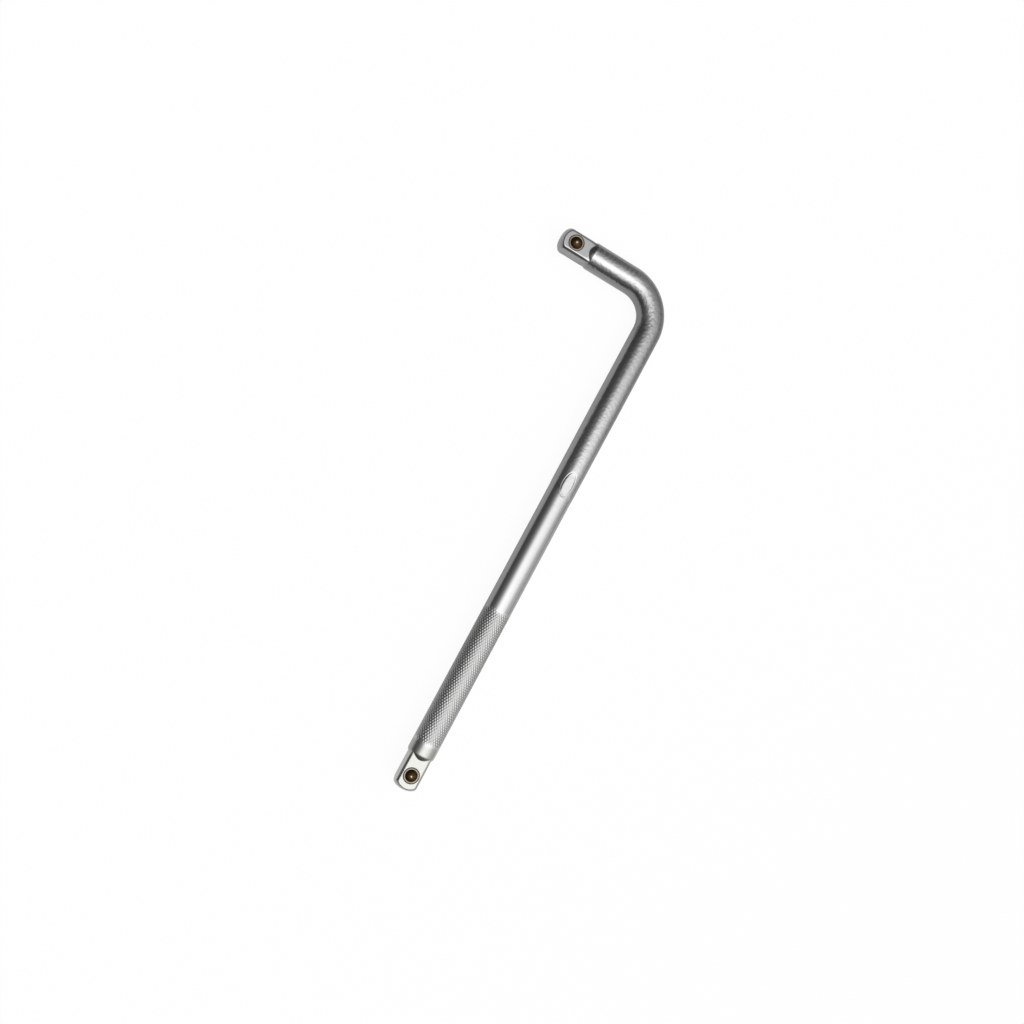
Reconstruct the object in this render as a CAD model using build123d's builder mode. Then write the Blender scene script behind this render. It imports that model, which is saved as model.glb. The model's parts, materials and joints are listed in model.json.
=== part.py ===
from build123d import *
import math
import os

# An L-shaped socket handle: one bent steel bar with a square drive at each end, and in
# each drive a ball that a small spring pushes out to hold the socket. Millimetres.
# It lies flat on the XY plane, long arm along +X, short arm along -Y, balls facing up,
# with the origin on the ground under the middle of its box.

# Driving dimensions of the bar
bar_d = 16.2
long_arm_length = 312.8  # from the crossing of the two arm axes to the arm's end
short_arm_length = 69.7
bend_radius = 22.5  # on the bar's centreline

# Square drives
square_across_flats = 12.7
long_drive_length = 18.8  # arm's end to the foot of the shoulder, on the ball's flat
short_drive_length = 17.6
shoulder_angle = 36  # half angle of the turned shoulder's cone
end_face_d = 3.6
end_dome_radius = 7.2  # the arm's end is turned to this radius round its small end face

# Grip, shank and mark on the long arm
collar_length = 6.4  # plain round between the shoulder and the knurled grip
grip_length = 84
grip_d = 16.06  # over the crests of the knurl, at the collar
grip_end_d = 15.88  # and at the shank
shank_d = 15.7  # ground down, as far as the mark
taper_length = 56  # from there back up to the bar's own size
mark_setback = 191.4  # from the arm's end to the mark's centre
mark_length = 16
mark_width = 7.2
mark_depth = 0.12

# Detents
ball_d = 7.94
ball_rise = 1.75  # how far the ball stands out of its flat
ball_travel = 1.6  # the ball sinks this far when a socket slides over it
ball_clearance = 0.08  # running clearance round the ball in its bore
long_ball_setback = 9.3  # from the arm's end to the ball's centre
short_ball_setback = 8.8
back_wall = 2.0  # steel left under the bore
lip_gap = 0.06  # between the ball and the staked lip that keeps it in
lip_height = 0.8
stake_groove_width = 0.62  # ring that the staking punch leaves round the lip
stake_groove_depth = 0.3

# Springs
spring_wire_d = 0.6
coil_fill = 0.62  # share of the spring's height, with the ball sunk, that is wire
spring_clearance = 0.3  # between the spring and its bore
seat_gap = 0.05  # the spring clears the ball and the bore's floor by this

# Cuts run past the surface that they open by this much
overrun = 2.0

# Places and radii that follow from the sizes
bar_r = bar_d / 2
half_square = square_across_flats / 2
axis_height = bar_r
corner = Vector(-(long_arm_length - bar_r) / 2, (short_arm_length - bar_r) / 2, axis_height)
quarter_turn = 90
up = Vector(0, 0, 1)
along_long = Vector(1, 0, 0)
along_short = Vector(0, -1, 0)
long_tip = corner + along_long * long_arm_length
short_tip = corner + along_short * short_arm_length
shoulder_length = (bar_r - half_square) / math.tan(math.radians(shoulder_angle))

ball_r = ball_d / 2
bore_r = ball_r + ball_clearance
bore_depth = square_across_flats - back_wall
ball_height = half_square + ball_rise - ball_r  # ball's centre above the arm's axis
lip_r = math.sqrt(ball_r**2 - (half_square - ball_height) ** 2) + lip_gap

spring_wire_r = spring_wire_d / 2
spring_r = bore_r - spring_clearance - spring_wire_r
spring_floor = half_square - bore_depth + seat_gap
spring_inner_r = spring_r - spring_wire_r
spring_top = ball_height - math.sqrt(ball_r**2 - spring_inner_r**2) - seat_gap
spring_height = spring_top - spring_floor
spring_turns = coil_fill * (spring_height - ball_travel) / spring_wire_d

# Each drive end: where the arm ends, which way it points, and its own two lengths
drive_ends = {
    "long_arm": (long_tip, along_long, long_drive_length, long_ball_setback),
    "short_arm": (short_tip, along_short, short_drive_length, short_ball_setback),
}


def side_plane(place, outward):
    """Upright plane through an arm's axis: x runs out of the arm's end, y runs up."""
    return Plane(origin=place, x_dir=outward, z_dir=outward.cross(up))


# Distances back from the long arm's end
grip_start = long_drive_length + shoulder_length + collar_length
grip_end = grip_start + grip_length
shank_end = mark_setback - mark_length / 2
taper_end = shank_end + taper_length

# The mark: a plain shallow oval, left bare, sunk evenly into the taper
with BuildPart() as mark_recess:
    with BuildSketch(Plane(origin=long_tip - along_long * mark_setback, x_dir=along_long, z_dir=up)):
        Ellipse(mark_length / 2, mark_width / 2)
    extrude(amount=bar_r + overrun)
    with BuildSketch(side_plane(long_tip, along_long)):
        Polygon(
            (-shank_end + overrun, 0),
            (-shank_end + overrun, shank_d / 2 - mark_depth),
            (-shank_end, shank_d / 2 - mark_depth),
            (-taper_end, bar_r - mark_depth),
            (-taper_end, 0),
            align=None,
        )
    revolve(axis=Axis(long_tip, along_long), mode=Mode.SUBTRACT)

# The handle bar: round stock bent through a right angle
long_shoulder = long_tip - along_long * (long_drive_length + shoulder_length)
short_shoulder = short_tip - along_short * (short_drive_length + shoulder_length)

with BuildPart() as handle_bar:
    with BuildLine() as bar_path:
        FilletPolyline(long_shoulder, corner, short_shoulder, radius=bend_radius)
    with BuildSketch(Plane(origin=bar_path.line @ 0, z_dir=bar_path.line % 0)):
        Circle(bar_r)
    sweep(path=bar_path.line)

    for tip, outward, drive_length, ball_setback in drive_ends.values():
        # four flats milled on the round bar, whose own surface stays at the corners
        square_length = drive_length + shoulder_length
        shoulder = Plane(origin=tip - outward * square_length, x_dir=up, z_dir=outward)
        with BuildSketch(shoulder):
            Circle(bar_r)
            Rectangle(square_across_flats, square_across_flats, mode=Mode.INTERSECT)
        extrude(amount=square_length)

        # shoulder cone, from the round bar down to the flats
        with BuildSketch(side_plane(tip - outward * square_length, outward)):
            Polygon((0, 0), (0, bar_r), (shoulder_length, half_square), (shoulder_length, 0), align=None)
        revolve(axis=Axis(tip, outward))

        # the tip is turned to a dome round its flat end face
        face_edge = (0, end_face_d / 2)
        waste_corner = (0, end_face_d / 2 + end_dome_radius)
        with BuildSketch(side_plane(tip, outward)):
            with BuildLine() as dome:
                CenterArc((-end_dome_radius, end_face_d / 2), end_dome_radius, 0, quarter_turn)
                Polyline(dome.line @ 1, waste_corner, face_edge)
            make_face()
        revolve(axis=Axis(tip, outward), mode=Mode.SUBTRACT)

        # blind bore for spring and ball, closed in at the mouth by the staked lip
        mouth = tip - outward * ball_setback + up * half_square
        with BuildSketch(side_plane(mouth, outward)):
            Polygon(
                (0, overrun),
                (lip_r, overrun),
                (lip_r, 0),
                (bore_r, -lip_height),
                (bore_r, -bore_depth),
                (0, -bore_depth),
                align=None,
            )
        revolve(axis=Axis(mouth, up), mode=Mode.SUBTRACT)

        # ring that the staking punch leaves round the lip
        with BuildSketch(side_plane(mouth, outward)):
            Polygon(
                (bore_r, 0),
                (bore_r + stake_groove_width / 2, -stake_groove_depth),
                (bore_r + stake_groove_width, 0),
                align=None,
            )
        revolve(axis=Axis(mouth, up), mode=Mode.SUBTRACT)

    # grip and shank are turned below the bar's own size, and the taper runs back out to it
    with BuildSketch(side_plane(long_tip, along_long)):
        Polygon(
            (-grip_start, bar_r + overrun),
            (-grip_start, grip_d / 2),
            (-grip_end, grip_end_d / 2),
            (-grip_end, shank_d / 2),
            (-shank_end, shank_d / 2),
            (-taper_end, bar_r),
            (-taper_end, bar_r + overrun),
            align=None,
        )
    revolve(axis=Axis(long_tip, along_long), mode=Mode.SUBTRACT)
    add(mark_recess.part, mode=Mode.SUBTRACT)

handle_bar.part.label = "handle_bar"

os.makedirs("parts", exist_ok=True)
export_step(handle_bar.part, "parts/handle_bar.step")

for arm, (tip, outward, drive_length, ball_setback) in drive_ends.items():
    ball_axis = tip - outward * ball_setback

    # The ball, at rest against the lip
    with BuildPart(Plane(origin=ball_axis + up * ball_height)) as ball:
        Sphere(ball_r)
    ball.part.label = f"{arm}_ball"
    export_step(ball.part, f"parts/{arm}_ball.step")

    # The spring under the ball, wound open, with both ends ground flat
    spring_base = Plane(origin=ball_axis + up * spring_floor)
    with BuildPart() as spring:
        with BuildLine(spring_base) as coil:
            Helix(pitch=spring_height / spring_turns, height=spring_height, radius=spring_r)
        with BuildSketch(Plane(origin=coil.line @ 0, z_dir=coil.line % 0)):
            Circle(spring_wire_r)
        sweep(path=coil.line, is_frenet=True)
        split(bisect_by=spring_base, keep=Keep.TOP)
        split(bisect_by=spring_base.offset(spring_height), keep=Keep.BOTTOM)
    spring.part.label = f"{arm}_spring"
    export_step(spring.part, f"parts/{arm}_spring.step")
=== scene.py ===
import json
import math

import bpy
import numpy as np
from mathutils import Matrix, Vector


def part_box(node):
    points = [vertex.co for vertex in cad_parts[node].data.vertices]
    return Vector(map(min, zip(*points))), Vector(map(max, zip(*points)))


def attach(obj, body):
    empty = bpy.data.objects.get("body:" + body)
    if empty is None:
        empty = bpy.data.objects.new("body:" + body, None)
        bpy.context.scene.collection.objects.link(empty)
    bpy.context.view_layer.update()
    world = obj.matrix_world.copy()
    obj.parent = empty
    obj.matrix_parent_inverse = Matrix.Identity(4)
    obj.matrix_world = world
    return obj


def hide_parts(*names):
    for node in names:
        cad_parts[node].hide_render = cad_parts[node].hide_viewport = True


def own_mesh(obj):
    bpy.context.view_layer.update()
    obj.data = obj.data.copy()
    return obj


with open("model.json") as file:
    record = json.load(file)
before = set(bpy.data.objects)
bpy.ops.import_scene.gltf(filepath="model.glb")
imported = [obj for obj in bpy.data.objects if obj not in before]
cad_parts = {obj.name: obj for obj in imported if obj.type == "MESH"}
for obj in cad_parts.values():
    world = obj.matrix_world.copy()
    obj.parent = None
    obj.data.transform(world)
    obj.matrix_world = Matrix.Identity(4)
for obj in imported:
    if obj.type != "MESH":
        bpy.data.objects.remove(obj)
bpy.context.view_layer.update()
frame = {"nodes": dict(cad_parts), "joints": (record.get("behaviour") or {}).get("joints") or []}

# Camera. The handle is seen from above, almost square on, with the grip end of the long arm
# towards the bottom left of the picture and the bend at the top right.
eye = Vector((0.04337, -0.0851, 0.56813))
aim = Vector((-0.00273, 0.01149, 0.0081))
picture_up = Vector((-0.876, -0.482, 0))
sight = (aim - eye).normalized()
picture_right = sight.cross(picture_up).normalized()
picture_up = picture_right.cross(sight)

lens = bpy.data.cameras.new("camera")
lens.sensor_width = 36
lens.lens = 35.66
lens.clip_start = 0.01
lens.clip_end = 100
camera = bpy.data.objects.new("camera", lens)
aiming = Matrix((picture_right, picture_up, -sight)).transposed().to_4x4()
camera.matrix_world = Matrix.Translation(eye) @ aiming
bpy.context.scene.collection.objects.link(camera)
bpy.context.scene.camera = camera
bpy.context.scene.view_settings.view_transform = "Standard"


# Light. One wide soft overhead panel, brightest straight above the bench, in a dim studio.
# The steel mirrors it, so how the panel fades out on each side is what draws the bar.
class Signal:
    """One output socket. Arithmetic on signals adds the Math nodes that work it out."""

    def __init__(self, finish, socket):
        self.finish = finish
        self.socket = socket

    def work(self, operation, *others):
        return self.finish.node("ShaderNodeMath", {"operation": operation}, dict(enumerate((self, *others))))

    def __add__(self, other):
        return self.work("ADD", other)

    def __sub__(self, other):
        return self.work("SUBTRACT", other)

    def __mul__(self, other):
        return self.work("MULTIPLY", other)

    def __truediv__(self, other):
        return self.work("DIVIDE", other)

    def __rsub__(self, other):
        return self.finish.node("ShaderNodeMath", {"operation": "SUBTRACT"}, {0: other, 1: self})

    def __rtruediv__(self, other):
        return self.finish.node("ShaderNodeMath", {"operation": "DIVIDE"}, {0: other, 1: self})

    __radd__ = __add__
    __rmul__ = __mul__


class Finish:
    """The shader of one surface, or of the light round the bench."""

    def __init__(self, owner):
        owner.use_nodes = True
        self.tree = owner.node_tree
        self.tree.nodes.clear()

    def node(self, kind, settings=None, sockets=None, give=0):
        """Adds one node with its settings, then the values or signals of its sockets.

        Returns the output called give, or several if give is a tuple of names.
        """
        made = self.tree.nodes.new(kind)
        for name, value in (settings or {}).items():
            if name == "stops":
                first, *middle, last = value
                elements = made.color_ramp.elements
                elements[0].position, elements[0].color = first[0], (*[first[1]] * 3, 1)
                elements[-1].position, elements[-1].color = last[0], (*[last[1]] * 3, 1)
                for place, grey in middle:
                    elements.new(place).color = (*[grey] * 3, 1)
            elif name == "blend":
                made.color_ramp.interpolation = value
            else:
                setattr(made, name, value)
        for name, value in (sockets or {}).items():
            if isinstance(value, Signal):
                self.tree.links.new(value.socket, made.inputs[name])
            else:
                made.inputs[name].default_value = value
        if not made.outputs:
            return None
        if isinstance(give, tuple):
            return tuple(Signal(self, made.outputs[name]) for name in give)
        return Signal(self, made.outputs[give])

    def ramp(self, signal, start, stop):
        """Rises evenly from 0, where the signal is at start, to 1, where it is at stop."""
        return self.node("ShaderNodeMapRange", None, {0: signal, 1: start, 2: stop})

    def blend(self, share, first, second):
        """Colour that is first at a share of 0 and second at a share of 1."""
        return self.node("ShaderNodeMix", {"data_type": "RGBA"}, {0: share, 6: first, 7: second}, give=2)


def fading(light, tilt, stops):
    """Brightness at a tilt from straight up, in turns, from stops of (degrees, brightness)."""
    places = [(0.5 + degrees / 360, grey) for degrees, grey in stops]
    return light.node("ShaderNodeValToRGB", {"stops": places, "blend": "B_SPLINE"}, {0: tilt + 0.5})


panel_brightness = 3.05
room_brightness = 0.026  # of the dim studio, as a share of the panel
studio = bpy.data.worlds.new("studio")
bpy.context.scene.world = studio
light = Finish(studio)
heading = light.node("ShaderNodeTexCoord", give="Generated")
east, north, height = light.node("ShaderNodeSeparateXYZ", None, {0: heading}, give=("X", "Y", "Z"))
tilt_east = east.work("ARCSINE") / math.tau
tilt_north = north.work("ARCTAN2", height) / math.tau
panel_east = fading(
    light,
    tilt_east,
    [(-90, 0.1), (-80, 0.1), (-48, 0.16), (-30, 0.27), (-21, 0.36), (-13, 0.52), (-5, 0.79), (4, 0.96),
     (19, 1), (27, 0.8), (34, 0.52), (42, 0.27), (50, 0.11), (60, 0.045), (75, 0.025), (90, 0.025)],
)
panel_north = fading(
    light,
    tilt_north + tilt_east.work("MINIMUM", 0) * 0.7,
    [(-120, 0.02), (-75, 0.02), (-60, 0.035), (-48, 0.08), (-38, 0.16), (-28, 0.35), (-20, 0.64), (-10, 0.92),
     (2, 1), (20, 0.94), (38, 0.82), (52, 0.56), (64, 0.39), (76, 0.32), (88, 0.38), (120, 0.42)],
)
room = panel_east * panel_north + room_brightness
glow = light.node("ShaderNodeBackground", None, {"Color": room, "Strength": panel_brightness})
white_wall = light.node("ShaderNodeBackground", None, {"Color": (1, 1, 1, 1), "Strength": 1})
wall_seen = light.node("ShaderNodeLightPath", give="Is Camera Ray")
around_bench = light.node("ShaderNodeMixShader", None, {0: wall_seen, 1: glow, 2: white_wall})
light.node("ShaderNodeOutputWorld", None, {"Surface": around_bench})

# Bench top. A plain matt white sheet, larger than anything that the handle's steel can mirror.
# The camera sees it evenly white. In what the steel mirrors, and in the light that it throws back,
# its tone is painted light: brightest round the long arm's drive, lighter on the far side of the
# long arm and dimmer away from the handle. For the steel the sheet also glows a little with that
# painted tone.
bench_reach = 20
bench_mesh = bpy.data.meshes.new("bench")
bench_corners = [(-bench_reach, -bench_reach, 0), (bench_reach, -bench_reach, 0),
                 (bench_reach, bench_reach, 0), (-bench_reach, bench_reach, 0)]
bench_mesh.from_pydata(bench_corners, [], [(0, 1, 2, 3)])
bench = bpy.data.objects.new("bench", bench_mesh)
bpy.context.scene.collection.objects.link(bench)

bench_paint = bpy.data.materials.new("bench_white_painted_light")
paper = Finish(bench_paint)
sheet = paper.node("ShaderNodeTexCoord", give="Object")
sheet_x, sheet_y = paper.node("ShaderNodeSeparateXYZ", None, {0: sheet}, give=("X", "Y"))


def from_arm(middle_x, middle_y, half_x, half_y):
    """Distance on the sheet from an arm, taken as a straight line along x or along y."""
    beside = ((sheet_x - middle_x).work("ABSOLUTE") - half_x).work("MAXIMUM", 0)
    beyond = ((sheet_y - middle_y).work("ABSOLUTE") - half_y).work("MAXIMUM", 0)
    return (beside * beside + beyond * beyond).work("SQRT")


to_bar = from_arm(-0.008, 0.031, 0.144, 0).work("MINIMUM", from_arm(-0.152, -0.004, 0, 0.035))
# painted light: the sheet's tone in the steel falls off with the distance from the handle
painted_light_pool = paper.node(
    "ShaderNodeValToRGB",
    {"stops": [(0, 0.72), (0.05, 0.72), (0.072, 0.66), (0.11, 0.64), (0.22, 0.52), (0.6, 0.45), (1, 0.2)],
     "blend": "LINEAR"},
    {0: to_bar * 4},
)
# painted shadow: two strips of the sheet, in front of the long arm and at the back of it, are
# darker in what the steel mirrors, where the handle would keep light off them
shade = paper.ramp(from_arm(-0.04, 0.0222, 0.1, 0), 0.0028, 0.0012)
# painted light on the far side of the long arm, towards its drive
painted_back_light = paper.ramp(sheet_x, -0.08, -0.01) * paper.ramp(sheet_y, 0.05, 0.06)
back_shade = paper.ramp(from_arm(-0.1, 0.0495, 0.07, 0), 0.008, 0.004)
# painted light round the long arm's drive
painted_drive_glow = paper.ramp(from_arm(0.165, 0.035, 0, 0), 0.09, 0.01)
painted_mirror_tone = painted_light_pool * (1 - shade * 0.5) * (1 - back_shade * 0.28) + painted_back_light * 0.3 + painted_drive_glow * 0.5
seen, mirrored, through = paper.node(
    "ShaderNodeLightPath", give=("Is Camera Ray", "Is Glossy Ray", "Is Transmission Ray")
)
paper_white_and_painted_tone = paper.blend(seen, painted_mirror_tone, (0.9, 0.9, 0.9, 1))
matt = paper.node("ShaderNodeBsdfDiffuse", None, {"Color": paper_white_and_painted_tone, "Roughness": 0.5})
white = paper.node("ShaderNodeEmission", None, {"Color": (1, 1, 1, 1), "Strength": 1})
bleached = 0.94  # how far the camera sees the sheet as bare white, without the handle's shadow
white_and_painted_glow = seen * bleached + (mirrored + through) * (painted_mirror_tone * 0.3 + painted_drive_glow * 0.5)
lit = paper.node("ShaderNodeMixShader", None, {0: white_and_painted_glow, 1: matt, 2: white})
paper.node("ShaderNodeOutputMaterial", None, {"Surface": lit})
bench_mesh.materials.append(bench_paint)

# Handle bar. One length of round chrome steel bar, bent cold through a right angle, with a
# square drive milled and turned on each end and a plain oval stamped in the long arm's shank.
mm = 0.001
bar_r = 8.1
long_arm = 312.8
short_arm = 69.7
bend_r = 22.5
half_square = 6.35
shoulder_slope = math.tan(math.radians(36))
shoulder_length = (bar_r - half_square) / shoulder_slope
end_face_r = 1.8
dome_r = 7.2

collar_length = 6.4
grip_length = 84
core_r = 7.3
shank_r = 7.85
taper_length = 56
mark_place = 191.4
mark_half_length = 8
mark_half_width = 3.6

bore_r = 4.05
bore_depth = 10.7
lip_r = 3.351
groove_r = 4.67

# each drive end: length of the ball's flat, and the ball's distance from the arm's end
long_drive, long_ball = 18.8, 9.3
short_drive, short_ball = 17.6, 8.8

bend_centre_x = -(long_arm - bar_r) / 2 + bend_r
bend_centre_y = (short_arm - bar_r) / 2 - bend_r
long_straight = long_arm - bend_r
bend_length = bend_r * math.pi / 2
bar_length = long_straight + bend_length + short_arm - bend_r

grip_start = long_drive + shoulder_length + collar_length
grip_end = grip_start + grip_length
shank_end = mark_place - mark_half_length
taper_end = shank_end + taper_length


def place(reach, inward, rise):
    """Point of the bar, in metres, from its place along and across the bent axis.

    reach runs along the axis from the long arm's end. inward runs level, towards the inside
    of the bend, and rise runs up. In the bend the point turns round the bend's centre.
    """
    bend = np.clip((reach - long_straight) / bend_r, 0, math.pi / 2)
    before = long_straight - np.minimum(reach, long_straight)
    after = np.maximum(reach - long_straight - bend_length, 0)
    x = bend_centre_x + before - (bend_r - inward) * np.sin(bend)
    y = bend_centre_y - after + (bend_r - inward) * np.cos(bend)
    return np.stack(np.broadcast_arrays(x, y, bar_r + rise), -1) * mm


def eased(a, b, width):
    """Lesser of a and b, with a parabola easing the crease where they differ by less than width."""
    near = np.clip(1 - np.abs(a - b) / width, 0, 1)
    return np.minimum(a, b) - near**2 * width / 4


def stretch(start, stop, count):
    """Evenly spaced rows from start, and up to but without stop."""
    return start + (stop - start) * (np.arange(count) / count)[:, None]


# the grid's columns: a quarter turn has one flat, its two creases and the round between flats
crease_turn = math.acos(half_square / bar_r)
crease = np.array([-0.2, -0.1, 0, 0.1, 0.2, 0.35, 0.5, 0.7])
window = 4.75
window_steps = 24
flat_turns = np.arctan(np.linspace(-window, window, window_steps + 1) / half_square)
first_crease = crease_turn + crease / bar_r
quarter = np.concatenate([flat_turns, first_crease, [math.pi / 4], math.pi / 2 - first_crease[::-1]])
turns = np.concatenate([quarter + quarter_turns * math.pi / 2 for quarter_turns in (-2, -1, 0, 1)])
top_flat = 2 * len(quarter)

flats = half_square / np.maximum(np.abs(np.cos(turns)), np.abs(np.sin(turns)))
trimmed_flats = np.minimum(flats, bar_r)
every_turn = np.ones_like(turns)


def drive_rows(drive, ball):
    """Rows of distances from an arm's end, bent to follow the creases of its square drive.

    Also gives which rows the square window round the ball starts and stops at.
    """
    base = drive + shoulder_length
    dome_turn = np.arcsin((trimmed_flats - end_face_r) / dome_r)
    tip = dome_r * (1 - np.cos(dome_turn))
    near = np.linspace(-0.4, 0.4, 9)[:, None]
    corner = np.linspace(-0.2, 0.2, 7)[:, None]
    foot = np.minimum(drive + (trimmed_flats - half_square) / shoulder_slope, base - 0.5)
    window_start = np.maximum(ball - window, tip + 0.45)
    before = [
        dome_r * (1 - np.cos(stretch(0 * dome_turn, np.arccos(1 - (tip - 0.4) / dome_r), 9))),
        tip + near,
    ]
    rows = before + [
        stretch(window_start, (ball + window) * every_turn, window_steps),
        stretch((ball + window) * every_turn, foot - 0.2, 5),
        foot + corner,
        stretch(foot + 0.3, (base + 1.6) * every_turn, 12),
    ]
    start = sum(len(part) for part in before)
    return np.concatenate(rows), start, start + window_steps


def drive_radius(from_end, turn, drive):
    """Radius of an arm near its end.

    It is the least of the bar's round, the turned tip and the four flats, and the shoulder's
    cone fills the flats back up to the bar's round.
    """
    flat = half_square / np.maximum(np.abs(np.cos(turn)), np.abs(np.sin(turn)))
    shoulder = half_square + (from_end - drive) * shoulder_slope
    rounding = np.interp(from_end, [drive - 1, drive + 1], [0.25, 0.7])
    body = eased(-eased(-flat, -shoulder, 0.2), bar_r, rounding)
    dome = end_face_r + np.sqrt(dome_r**2 - (dome_r - np.clip(from_end, 0, dome_r)) ** 2)
    return eased(body, dome, 0.35)


def turned_radius(reach):
    """Radius that the middle of the bar is turned to: collar, grip core, shank and taper."""
    return np.interp(
        reach,
        [grip_start, grip_start + 0.02, grip_end - 0.02, grip_end, shank_end, taper_end],
        [bar_r, core_r, core_r, shank_r, shank_r, bar_r],
    )


def bar_radius(reach, turn):
    """Radius of the whole bar: the least of both drives and of the turned middle.

    The bend draws the bar in a little on its inner and outer sides, and from the shank to the
    bend the forged bar is a little oval, with its long way across from +45 to -45 degrees.
    """
    radius = np.minimum(
        drive_radius(reach, turn, long_drive), drive_radius(bar_length - reach, turn, short_drive)
    )
    bend = np.clip((reach - long_straight) / bend_length, 0, 1)
    drawn = 1 - 0.015 * np.sin(bend * math.pi) * np.sin(turn) ** 2
    edge = shank_end + 2 + 3 * np.sin(turn)
    oval = 0.22 * np.clip((reach - edge) / 1.8, 0, 1) * np.clip((302 - reach) / 16, 0, 1)
    return np.minimum(radius, turned_radius(reach)) * drawn - oval * (np.sin(2 * turn) + 0.06)


mark_window = 9.1
mark_margin = 2  # columns of the top flat that are left whole on each side of the mark

long_rows, long_window_start, long_window_stop = drive_rows(long_drive, long_ball)
short_rows, short_window_start, short_window_stop = drive_rows(short_drive, short_ball)
middle = np.concatenate([
    np.linspace(long_rows[-1, 0], grip_start - 0.04, 4)[1:],
    [grip_start - 0.02, grip_start, grip_start + 0.02],
    np.linspace(grip_start + 0.02, grip_end - 0.02, 4)[1:],
    [grip_end, grip_end + 0.02, grip_end + 0.04],
    np.linspace(grip_end + 0.04, mark_place - mark_window, 16)[1:-1],
    np.linspace(mark_place - mark_window, mark_place + mark_window, window_steps + 1),
    np.linspace(mark_place + mark_window, taper_end, 14)[1:],
    np.linspace(taper_end, long_straight, 10)[1:],
    long_straight + np.linspace(0, bend_length, 37)[1:],
    np.linspace(long_straight + bend_length, bar_length - short_rows[-1, 0], 9)[1:-1],
])
reach = np.concatenate([long_rows, middle[:, None] * every_turn, bar_length - short_rows[::-1]])
radius = bar_radius(reach, turns)
row_count, column_count = reach.shape

grid = place(reach, radius * np.sin(turns), radius * np.cos(turns)).reshape(-1, 3)
grid_reach = reach.ravel()
index = np.arange(row_count * column_count).reshape(row_count, column_count)
kept = np.ones((row_count - 1, column_count), bool)

points = [grid]
reaches = [grid_reach]
dirt_and_shade_points = [np.zeros(len(grid))]
faces = []
point_count = len(grid)


def fill_window(first_row, last_row, first_column, last_column, rings):
    """Opens a window in the grid and fills it with closed rings that shrink to a point.

    rings takes the window's edge, as places along and across the axis, and gives each ring's
    (reach, inward, rise, dirt and painted shade), the last of them a single point in the middle.
    """
    global point_count
    kept[first_row:last_row, first_column:last_column] = False
    edge = np.concatenate([
        index[first_row:last_row, first_column],
        index[last_row, first_column:last_column],
        index[last_row:first_row:-1, last_column],
        index[first_row, last_column:first_column:-1],
    ])
    edge_reach = grid_reach[edge]
    edge_inward = (radius * np.sin(turns)).ravel()[edge]
    ring = edge
    for ring_reach, ring_inward, ring_rise, grime in rings(edge_reach, edge_inward):
        spot = place(ring_reach, ring_inward, ring_rise).reshape(-1, 3)
        new = point_count + np.arange(len(spot))
        if len(spot) == 1:
            faces.extend(np.stack([ring, np.roll(ring, -1), new.repeat(len(ring))], -1).tolist())
        else:
            faces.extend(np.stack([ring, np.roll(ring, -1), np.roll(new, -1), new], -1).tolist())
        points.append(spot)
        reaches.append(np.broadcast_to(ring_reach, len(spot)).ravel())
        dirt_and_shade_points.append(np.full(len(spot), float(grime)))
        point_count += len(spot)
        ring = new


# the ball's bore: its wall, the staked lip over its mouth and the groove of the staking punch
# each point: its radius, its rise, and its dirt and painted shade: real oil in the punch's groove, painted
# shade under the lip and down the bore
bore_profile = [
    (groove_r + 0.05, 0, 0.1), (groove_r, -0.005, 0.4), (groove_r - 0.05, -0.05, 0.6),
    (groove_r - 0.22, -0.2, 0.7), (groove_r - 0.31, -0.22, 0.7), (groove_r - 0.4, -0.2, 0.7),
    (bore_r + 0.06, -0.05, 0.55), (bore_r, -0.01, 0.4), (bore_r - 0.1, 0, 0.35),
    (lip_r + 0.2, -0.02, 0.4), (lip_r + 0.08, -0.05, 0.5), (lip_r + 0.04, -0.1, 0.8),
    (lip_r + 0.06, -0.14, 1), (bore_r, -0.8, 1), (bore_r, -bore_depth, 1), (0, -bore_depth, 1),
]


def bore_rings(centre):
    """Rings round the ball's axis: two that lead in from the window's edge, then circles.

    Each ring is set down on the bar's own surface, at the height of the profile's point.
    """
    def rings(edge_reach, edge_inward):
        about = np.arctan2(edge_inward, edge_reach - centre)
        far = np.hypot(edge_inward, edge_reach - centre)
        outer_r = bore_profile[0][0]
        lead = [(far + (outer_r - far) * share, 0, 0) for share in (0.35, 0.7)]
        for ring_r, rise, grime in lead + bore_profile[:-1]:
            ring_reach = centre + ring_r * np.cos(about)
            ring_turn = np.arctan2(ring_r * np.sin(about), half_square)
            surface = bar_radius(ring_reach, ring_turn)
            yield ring_reach, ring_r * np.sin(about), surface * np.cos(ring_turn) + rise, grime
        yield np.array([centre]), np.zeros(1), half_square - bore_depth, 1
    return rings


fill_window(long_window_start, long_window_stop, top_flat, top_flat + window_steps, bore_rings(long_ball))
fill_window(
    row_count - 1 - short_window_stop, row_count - 1 - short_window_start,
    top_flat, top_flat + window_steps, bore_rings(bar_length - short_ball),
)

# the mark: a plain oval, its outline pressed in as a soft groove round a bare, flatter floor.
# Each point of the profile has its inset, its depth and how far it has turned into the floor.
mark_profile = [(-0.1, 0, 0), (0.05, -0.01, 0), (0.22, -0.05, 0), (0.38, -0.09, 0), (0.5, -0.105, 0),
                (0.62, -0.095, 0.1), (0.82, -0.055, 0.4), (1.05, -0.035, 0.8), (1.25, -0.02, 1)]
mark_floor_bow = 1 / 40
mark_floor_drop = 0.135
mark_floor_tilt = 0.03


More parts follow.
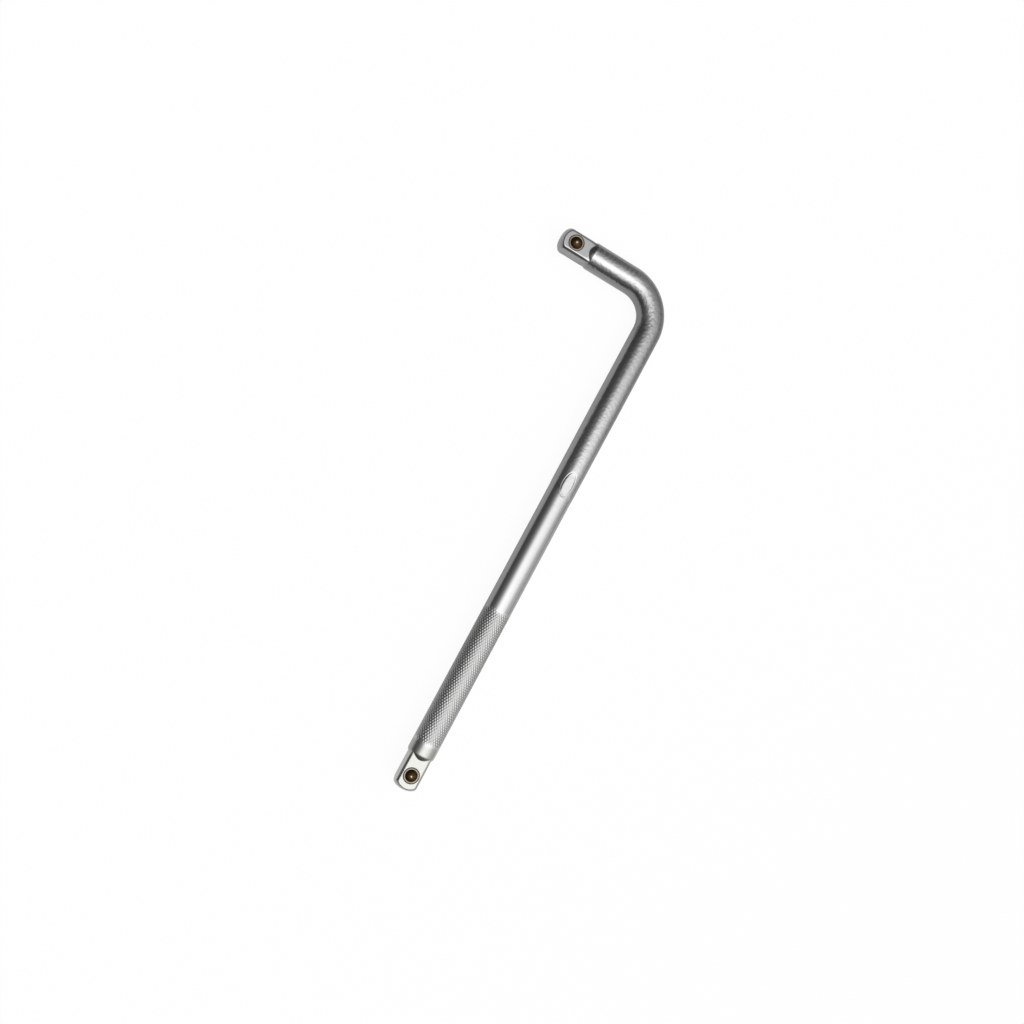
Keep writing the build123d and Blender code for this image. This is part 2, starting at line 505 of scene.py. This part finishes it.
def mark_rings(edge_reach, edge_inward):
    """Ovals at even steps inside the mark's outline, then shrunk copies of the last one.

    The floor is a shallow bow: it falls from its middle with the square of the way across.
    """
    about = np.arctan2(edge_inward / mark_half_width, (edge_reach - mark_place) / mark_half_length)
    outline = np.stack([mark_half_length * np.cos(about), mark_half_width * np.sin(about)])
    square_on = np.stack([mark_half_width * np.cos(about), mark_half_length * np.sin(about)])
    square_on /= np.linalg.norm(square_on, axis=0)

    def rise(ring, depth, floored):
        turn = np.arcsin(ring[1] / turned_radius(mark_place + ring[0]))
        surface = bar_radius(mark_place + ring[0], turn) * np.cos(turn)
        floor = bar_radius(mark_place + ring[0], 0 * turn) - mark_floor_drop - mark_floor_bow * ring[1] ** 2
        return (1 - floored) * (surface + depth) + floored * (floor - mark_floor_tilt * ring[1])

    for inset, depth, floored in mark_profile:
        ring = outline - square_on * inset
        yield mark_place + ring[0], ring[1], rise(ring, depth, floored), 0
    for share in (0.75, 0.5, 0.25, 0):
        shrunk = ring * share if share else np.zeros((2, 1))
        yield mark_place + shrunk[0], shrunk[1], rise(shrunk, 0, 1), 0


mark_row = int(np.argmin(np.abs(reach[:, 0] - (mark_place - mark_window))))
fill_window(
    mark_row, mark_row + window_steps,
    top_flat + mark_margin, top_flat + window_steps - mark_margin, mark_rings,
)

following = np.roll(index, -1, axis=1)
quads = np.stack([index[:-1], index[1:], following[1:], following[:-1]], -1)[kept]
ends = place(np.array([0, bar_length]), np.zeros(2), np.zeros(2))
first_end = np.stack([np.full(column_count, point_count), index[0], following[0]], -1)
last_end = np.stack([np.full(column_count, point_count + 1), following[-1], index[-1]], -1)
points.append(ends)
reaches.append(np.array([0, bar_length]))
dirt_and_shade_points.append(np.zeros(2))


def steel_piece(name, spots, polygons, marks):
    """Makes a smooth mesh object, with one named number per point for each of marks."""
    mesh = bpy.data.meshes.new(name)
    mesh.from_pydata(spots.tolist(), [], polygons)
    mesh.shade_smooth()
    for mark, values in marks.items():
        mesh.attributes.new(mark, "FLOAT", "POINT").data.foreach_set("value", values.astype(np.float32))
    piece = bpy.data.objects.new(name, mesh)
    bpy.context.scene.collection.objects.link(piece)
    return piece


bar = steel_piece(
    "bent_bar",
    np.concatenate(points),
    quads.tolist() + first_end.tolist() + last_end.tolist() + faces,
    {"reach": np.concatenate(reaches) * mm, "grime": np.concatenate(dirt_and_shade_points)},
)


def satin_chrome(name):
    """Chrome over steel: neutral grey, smooth on the drives, grip and ground shank.

    From the mark to the short arm's shoulder the bar keeps the skin that the forge left, with
    soft dents one to two millimetres across and a finer grain. Dirt and painted shade, from 0 to 1,
    is beige where it is thin and dark where it is thick: real oil in the staking groove, painted
    shade under the ball's lips and down the bores, and painted shade in the knurl's grooves.
    """
    paint = bpy.data.materials.new(name)
    steel = Finish(paint)
    spot = steel.node("ShaderNodeTexCoord", give="Object")
    grime = steel.node("ShaderNodeAttribute", {"attribute_name": "grime"}, give="Fac")
    along = steel.node("ShaderNodeAttribute", {"attribute_name": "reach"}, give="Fac")

    def past(start, stop):
        """Rises from 0 to 1 between two distances, in millimetres, from the long arm's end."""
        return steel.ramp(along, start * mm, stop * mm)

    forged = past(178, 215)
    milled = past(352.2, 352.8)
    skin = forged * (1 - milled)
    near_tip = past(28.2, 26.2)
    # painted shade: the steel darker from the mark towards the bend, where the panel's light falls off along
    # the bar
    painted_fall_off = past(200, 285)
    stretched = past(272, 292) * past(318, 310)
    past_bend = past(313.5, 327.5)
    knurled = past(27.5, 27.8) * past(111.8, 111.2)
    bent = past(270, 310)

    x, y, z = steel.node("ShaderNodeSeparateXYZ", None, {0: spot}, give=("X", "Y", "Z"))
    ring_spot = steel.node("ShaderNodeCombineXYZ", None, {0: along * 8, 1: x + y, 2: z})
    cloud = steel.node("ShaderNodeTexNoise", None, {"Vector": spot, "Scale": 90, "Detail": 3})
    grain = steel.node("ShaderNodeTexNoise", None, {"Vector": spot, "Scale": 1300, "Detail": 3})
    peel = steel.node("ShaderNodeTexNoise", None, {"Vector": spot, "Scale": 520, "Detail": 3, "Roughness": 0.6})
    polish = steel.node("ShaderNodeTexNoise", None, {"Vector": ring_spot, "Scale": 220, "Detail": 2})

    # pits: small round holes in a few cells of the forged skin
    near_pit, pit_draw = steel.node(
        "ShaderNodeTexVoronoi", None, {"Vector": spot, "Scale": 280}, give=("Distance", "Color")
    )
    pit_draw = steel.node("ShaderNodeSeparateColor", None, {0: pit_draw}, give="Red")
    pit_share = 0.2
    pit = steel.ramp(near_pit, 0.13, 0.07) * pit_draw.work("LESS_THAN", pit_share)
    pit = pit * skin.work("GREATER_THAN", 0.7)

    # colour: the tone along the bar, with painted shade from the mark towards the bend and down in
    # the knurl's grooves, then dirt and painted shade over it
    tone = 0.34 + cloud * 0.03 + polish * 0.04 - painted_fall_off * 0.045 - stretched * 0.035 - near_tip * 0.06 - pit * 0.2
    # painted shade: the knurl is lighter on its crests and darker down its grooves, with their depth
    tone = tone + past_bend * 0.035 + knurled * (0.08 - grime * 3.8)
    # beige for thin dirt; dark brown where the mark is thick, under the lips and down the bores, which is
    # painted shade
    thin = steel.node("ShaderNodeMath", {"operation": "MULTIPLY", "use_clamp": True}, {0: grime, 1: 2})
    thick = steel.node(
        "ShaderNodeMath", {"operation": "MULTIPLY_ADD", "use_clamp": True}, {0: grime, 1: 2, 2: -1}
    )
    clean = steel.blend(near_tip * 0.7, tone, (0.345, 0.345, 0.322, 1))
    dusty = steel.blend(thin, clean, (0.17, 0.15, 0.11, 1))
    colour = steel.blend(thick, dusty, (0.055, 0.042, 0.024, 1))

    rough = 0.13 + cloud * 0.06 + skin * 0.04 + near_tip * 0.12 - past_bend * 0.04 + knurled * 0.1 + grime * 0.2
    dents = peel * skin * (0.5 + bent * 0.5 - past_bend * 0.45)
    height = dents + grain * (0.01 + skin * 0.09) + polish * 0.03 - pit * 0.2
    relief = 0.0003
    normal = steel.node("ShaderNodeBump", None, {"Strength": 1, "Distance": relief, "Height": height})
    surface = steel.node(
        "ShaderNodeBsdfPrincipled",
        None,
        {"Base Color": colour, "Metallic": 1, "Roughness": rough, "Normal": normal},
    )
    steel.node("ShaderNodeOutputMaterial", None, {"Surface": surface})
    return paint


bar_finish = satin_chrome("satin_chrome_bar")
bar.data.materials.append(bar_finish)
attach(bar, "handle")
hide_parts("handle_bar")

# Knurled grip. Two crossing sets of spiral grooves, one a little deeper, are rolled into the long
# arm between collar and shank. They leave rows of small round studs, each on its own.
knurl_ridges = 33
knurl_pitch = 2.73
knurl_depth = 0.27
trailing_depth = 0.75
knurl_crest_r = 8.09
knurl_taper = 0.15
run_in = 2.8
knurl_samples = 8
buried = 0.8
# painted shade, with a little dirt, that the knurl's grooves get from their depth
groove_dirt_and_shade = 0.05


def groove(phase):
    """How deep in a set of grooves: a cosine wave, 1 along their bottoms and 0 half way between."""
    return (1 - np.cos(phase * math.tau)) / 2


knurl_turns = np.arange(knurl_ridges * knurl_samples) / (knurl_ridges * knurl_samples)
knurl_rows = np.arange(grip_start - buried, grip_end + buried, knurl_pitch / knurl_samples)[:, None]
around = knurl_turns * knurl_ridges
advance = (knurl_rows - grip_start) / knurl_pitch
deep = 1 - (1 - groove(around - advance)) * (1 - trailing_depth * groove(around + advance))
from_ends = np.minimum(knurl_rows - grip_start, grip_end - knurl_rows)
deep = deep * np.clip(from_ends / run_in, 0, 1)
crest_r = np.interp(
    knurl_rows,
    [grip_start - buried, grip_start, grip_end - run_in, grip_end, grip_end + buried],
    [bar_r - 0.05, knurl_crest_r, knurl_crest_r - knurl_taper, shank_r, shank_r - 0.05],
)
knurl_r = crest_r - knurl_depth * deep
inner_r = np.full((1, len(knurl_turns)), core_r - 0.1)
sleeve_r = np.concatenate([inner_r, knurl_r, inner_r])
sleeve_rows = np.concatenate([knurl_rows[:1], knurl_rows, knurl_rows[-1:]])
sleeve_turns = knurl_turns * math.tau
sleeve_points = place(sleeve_rows, sleeve_r * np.sin(sleeve_turns), sleeve_r * np.cos(sleeve_turns))
sleeve_index = np.arange(sleeve_r.size).reshape(sleeve_r.shape)
below = np.roll(sleeve_index, -1, axis=0)
beside = np.roll(sleeve_index, -1, axis=1)
sleeve_quads = np.stack([sleeve_index, below, np.roll(below, -1, axis=1), beside], -1).reshape(-1, 4)
sleeve_deep = np.concatenate([inner_r * 0, deep, inner_r * 0])
grip = steel_piece(
    "knurled_grip",
    sleeve_points.reshape(-1, 3),
    sleeve_quads.tolist(),
    {"reach": np.broadcast_to(sleeve_rows, sleeve_r.shape).ravel() * mm,
     "grime": sleeve_deep.ravel() * groove_dirt_and_shade},
)
grip.data.materials.append(bar_finish)
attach(grip, "handle")

# Detent balls. Hard steel balls, oiled and gone dark brown, that stand a little out of the
# upper flat of each drive and give under a socket.
ball_paint = bpy.data.materials.new("dark_ball_steel")
dark = Finish(ball_paint)
ball_spot = dark.node("ShaderNodeTexCoord", give="Object")
stain = dark.node("ShaderNodeTexNoise", None, {"Vector": ball_spot, "Scale": 700, "Detail": 3})
ball_tone = dark.blend(stain, (0.04, 0.022, 0.009, 1), (0.09, 0.05, 0.021, 1))
ball_z = dark.node("ShaderNodeSeparateXYZ", None, {0: ball_spot}, give="Z")
# a pale, smoother spot on the top of each ball: worn bright steel, and a painted highlight where the panel
# shines down on it
worn_and_highlit_top = dark.ramp(ball_z + (stain - 0.5) * 0.0002, 0.01613, 0.01617)
ball_colour = dark.blend(worn_and_highlit_top, ball_tone, (0.36, 0.33, 0.28, 1))
ball_surface = dark.node(
    "ShaderNodeBsdfPrincipled",
    None,
    {"Base Color": ball_colour, "Metallic": 1, "Roughness": 0.42 + stain * 0.12 - worn_and_highlit_top * 0.3,
     "Specular Tint": (0.5, 0.5, 0.5, 1)},
)
dark.node("ShaderNodeOutputMaterial", None, {"Surface": ball_surface})
for arm in ("long_arm", "short_arm"):
    ball = frame["nodes"][f"{arm}_ball"]
    ball.data.materials.clear()
    ball.data.materials.append(ball_paint)

# Springs. Open coils of thin spring wire that stand on the floor of each bore and hold the
# ball up.
spring_floor = 3.8 * mm
wire_paint = bpy.data.materials.new("spring_wire")
wire = Finish(wire_paint)
wire_spot = wire.node("ShaderNodeTexCoord", give="Object")
drawn = wire.node("ShaderNodeTexNoise", None, {"Vector": wire_spot, "Scale": 3000, "Detail": 2})
wire_tone = wire.blend(drawn, (0.3, 0.29, 0.27, 1), (0.42, 0.41, 0.39, 1))
wire_surface = wire.node(
    "ShaderNodeBsdfPrincipled", None, {"Base Color": wire_tone, "Metallic": 1, "Roughness": 0.28 + drawn * 0.15}
)
wire.node("ShaderNodeOutputMaterial", None, {"Surface": wire_surface})
joints = {joint["child"]: joint for joint in frame["joints"]}
for arm in ("long_arm", "short_arm"):
    node = frame["nodes"][f"{arm}_spring"]
    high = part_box(f"{arm}_spring")[1]
    coil = node.copy()
    coil.data = node.data.copy()
    coil.name = f"{arm}_coil"
    coil.parent = None
    for key in list(coil.keys()):
        del coil[key]
    bpy.context.scene.collection.objects.link(coil)
    coil.data.materials.clear()
    coil.data.materials.append(wire_paint)
    joint = joints[f"{arm}_ball"]
    travel = joint["range_m"][1]
    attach(coil, "handle")
    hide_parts(f"{arm}_spring")
    1 - travel / (high.z - spring_floor)
    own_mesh(coil)
